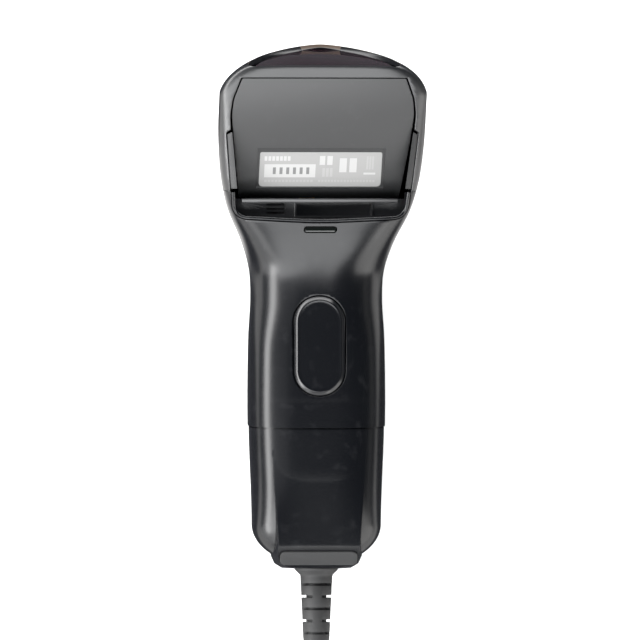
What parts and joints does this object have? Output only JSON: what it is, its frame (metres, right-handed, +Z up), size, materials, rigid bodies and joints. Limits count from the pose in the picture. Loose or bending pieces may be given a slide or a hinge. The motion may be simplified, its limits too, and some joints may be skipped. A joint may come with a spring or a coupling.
{
  "type": "handheld barcode scanner",
  "caption": "Corded handheld barcode scanner with a wide angled head, recessed label panel, oval thumb trigger, ribbed cable boot and a coiled lead with a plug.",
  "frame": {"origin": "on the table under the middle of the scanner, without its cord, as it lies on its back", "axes": "+Z up out of the side that carries the trigger, +Y along the body from the cable end to the scan window, +X to the right seen from above"},
  "size_m": [0.0839, 0.3091, 0.0544],
  "materials": {
    "case_black": "satin",
    "bezel_black": "satin",
    "cover_grey_black": "satin",
    "trigger_black": "satin",
    "window_red": "tinted clear, gloss",
    "foot_rubber": "matt",
    "boot_rubber": "matt",
    "gasket_foam": "matt",
    "label_silver": "printed film",
    "light_pipe_clear": "smoked, gloss",
    "led_white": "gloss",
    "inner_black": "matt",
    "guide_grey": "matt",
    "plunger_red": "satin",
    "spring_steel": "bright",
    "screw_steel": "bright",
    "board_green": "solder mask",
    "chip_black": "matt",
    "connector_ivory": "satin",
    "wire_red": "satin",
    "chassis_zinc": "cast, satin",
    "laser_brass": "turned",
    "lens_glass": "polished",
    "mirror_coated": "polished",
    "magnet_nickel": "plated",
    "coil_copper": "enamelled wire",
    "flex_amber": "film",
    "photodiode_dark": "gloss",
    "cord_black": "satin PVC",
    "clamp_zinc": "plated",
    "tie_black": "matt",
    "plug_black": "satin",
    "plug_steel": "nickel plated",
    "tongue_white": "satin"
  },
  "bodies": {
    "housing": {"back_case": "case_black", "grip_cover": "case_black", "front_bezel": "bezel_black", "tail_cap": "case_black", "tail_foot": "foot_rubber", "scan_window": "window_red", "window_gasket": "gasket_foam", "optics_cover": "cover_grey_black", "rating_label": "label_silver", "side_trims": "bezel_black", "recess_tray": "inner_black", "light_pipe": "light_pipe_clear", "status_led": "led_white", "buzzer": "inner_black", "trigger_guide": "guide_grey", "trigger_springs": "spring_steel", "tact_switch": "inner_black", "main_board": "board_green", "board_chips": "chip_black", "board_screws": "screw_steel", "cable_header": "connector_ivory", "cable_connector": "connector_ivory", "signal_wires": "wire_red", "engine_chassis": "chassis_zinc", "engine_screws": "screw_steel", "laser_module": "laser_brass", "laser_lens": "lens_glass", "mirror_pin": "spring_steel", "drive_coil": "coil_copper", "photodiode_board": "board_green", "photodiode": "photodiode_dark", "engine_flex": "flex_amber", "strain_relief": "boot_rubber", "cable_inner": "cord_black", "cable_clamp": "clamp_zinc", "cord_tube": "cord_black", "cord_coil": "cord_black", "cord_tie": "tie_black", "usb_grip": "plug_black", "usb_shell": "plug_steel", "usb_tongue": "tongue_white"},
    "trigger": {"trigger_cap": "trigger_black"},
    "plunger": {"switch_plunger": "plunger_red"},
    "mirror": {"mirror_holder": "inner_black", "scan_mirror": "mirror_coated", "mirror_magnet": "magnet_nickel"}
  },
  "joints": [
    {"name": "trigger_press", "type": "slide", "parent": "housing", "child": "trigger", "axis": [0, 0, -1], "range_m": [0, 0.001], "stiffness_N_per_m": 1200, "springref_m": -0.0006, "deforming": ["trigger_springs"]},
    {"name": "plunger_press", "type": "slide", "parent": "housing", "child": "plunger", "axis": [0, 0, -1], "range_m": [0, 0.001]},
    {"name": "mirror_swing", "type": "hinge", "parent": "housing", "child": "mirror", "pos_m": [0.004, 0.05969, 0.03295], "axis": [0, -0.3502, 0.9367], "range_deg": [-10, 10], "stiffness_Nm_per_rad": 0.004}
  ],
  "couplings": [
    {"joint": "plunger_press", "follows": "trigger_press", "ratio": 1}
  ]
}
